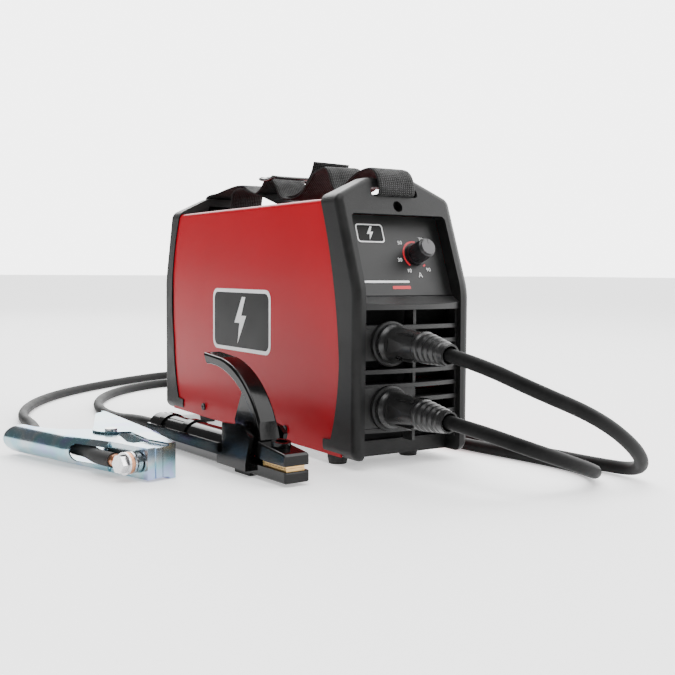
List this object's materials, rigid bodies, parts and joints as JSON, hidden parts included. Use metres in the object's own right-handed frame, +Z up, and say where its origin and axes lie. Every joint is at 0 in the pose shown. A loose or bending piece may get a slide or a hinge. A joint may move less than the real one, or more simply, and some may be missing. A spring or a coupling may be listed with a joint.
{
  "type": "stick welding inverter",
  "caption": "Portable stick welding inverter: black-bezelled red case, current knob, shoulder strap, electrode holder and earth clamp on plug-in leads.",
  "frame": {"origin": "on the floor under the middle of the case, halfway between the front and rear bezels", "axes": "+Z up; the control face looks along -Y and the mains inlet and fan are at +Y; +X is to the right seen from the front's rear side, that is to the right when looking along +Y"},
  "size_m": [0.4545, 0.8748, 0.2499],
  "materials": {
    "black_plastic": "fine grained, satin",
    "grille_plastic": "satin",
    "red_paint": "glossy powder coat",
    "zinc_sheet": "zinc plated, bluish",
    "bright_steel": "zinc plated",
    "foot_rubber": "matt",
    "panel_film": "dark grey film",
    "knob_plastic": "satin black",
    "cap_plastic": "grey, white pointer",
    "brass": "dull",
    "copper": "dull copper",
    "board": "satin",
    "aluminium": "extruded",
    "component": "moulded",
    "ferrite": "matt",
    "webbing": "woven",
    "lead_rubber": "satin",
    "holder_plastic": "glossy",
    "sleeve": "wrinkled heat shrink"
  },
  "bodies": {
    "machine": {"front_bezel": "black_plastic", "rear_bezel": "black_plastic", "wrap_cover": "red_paint", "base_pan": "bright_steel", "rubber_feet": "foot_rubber", "case_screws": "bright_steel", "control_panel": "panel_film", "panel_shelf": "grille_plastic", "front_grille": "grille_plastic", "inner_plate": "black_plastic", "output_sockets": "black_plastic", "socket_contacts": "brass", "upper_plug": "lead_rubber", "lower_plug": "lead_rubber", "plug_pins": "brass", "potentiometer": "component", "rear_panel": "bright_steel", "fan_frame": "black_plastic", "fan_guard": "black_plastic", "switch_body": "black_plastic", "cable_gland": "black_plastic", "power_board": "board", "board_posts": "aluminium", "heatsinks": "aluminium", "power_transistors": "component", "reservoir_capacitors": "component", "bridge_rectifier": "component", "transformer_core": "ferrite", "transformer_winding": "copper", "output_inductor": "copper", "control_board": "board", "bus_bars": "copper", "stud_nuts": "bright_steel", "shoulder_strap": "webbing", "strap_slider": "component", "clamp_lead": "lead_rubber", "holder_lead": "lead_rubber", "holder_frame": "holder_plastic", "holder_grip": "holder_plastic", "holder_pin": "bright_steel", "lower_jaw_insert": "brass", "holder_spring": "bright_steel", "clamp_fixed_arm": "zinc_sheet", "clamp_pivot_pin": "bright_steel", "clamp_spring": "bright_steel", "clamp_fixed_pad": "copper", "clamp_bolt": "bright_steel", "clamp_washers": "bright_steel", "clamp_lug": "copper", "clamp_sleeve": "sleeve"},
    "knob": {"current_knob": "knob_plastic", "knob_cap": "cap_plastic", "potentiometer_shaft": "bright_steel"},
    "fan": {"fan_rotor": "black_plastic"},
    "rocker": {"switch_rocker": "component"},
    "holder_lever_arm": {"holder_lever": "holder_plastic", "upper_jaw_insert": "brass", "holder_cap": "holder_plastic"},
    "clamp_arm": {"clamp_moving_arm": "zinc_sheet", "clamp_moving_pad": "copper"}
  },
  "joints": [
    {"name": "current_knob_turn", "type": "hinge", "parent": "machine", "child": "knob", "pos_m": [0.017, -0.16637, 0.171], "axis": [0, -0.9348, 0.3552], "range_deg": [-150, 150]},
    {"name": "fan_spin", "type": "hinge", "parent": "machine", "child": "fan", "pos_m": [0, 0.155, 0.076], "axis": [0, 1, 0], "continuous": true},
    {"name": "power_switch_press", "type": "hinge", "parent": "machine", "child": "rocker", "pos_m": [0.025, 0.16865, 0.172], "axis": [-1, 0, 0], "range_deg": [0, 14]},
    {"name": "holder_jaw_open", "type": "hinge", "parent": "machine", "child": "holder_lever_arm", "pos_m": [-0.12405, -0.15322, 0.02], "axis": [-0.9979, -0.0652, 0], "range_deg": [0, 22], "stiffness_Nm_per_rad": 1.5, "springref_deg": -20.05, "deforming": ["holder_spring"]},
    {"name": "clamp_jaw_open", "type": "hinge", "parent": "machine", "child": "clamp_arm", "pos_m": [-0.20701, -0.05772, 0.0137], "axis": [0, 0, 1], "range_deg": [0, 16], "stiffness_Nm_per_rad": 3, "springref_deg": -28.65, "deforming": ["clamp_spring"]}
  ]
}
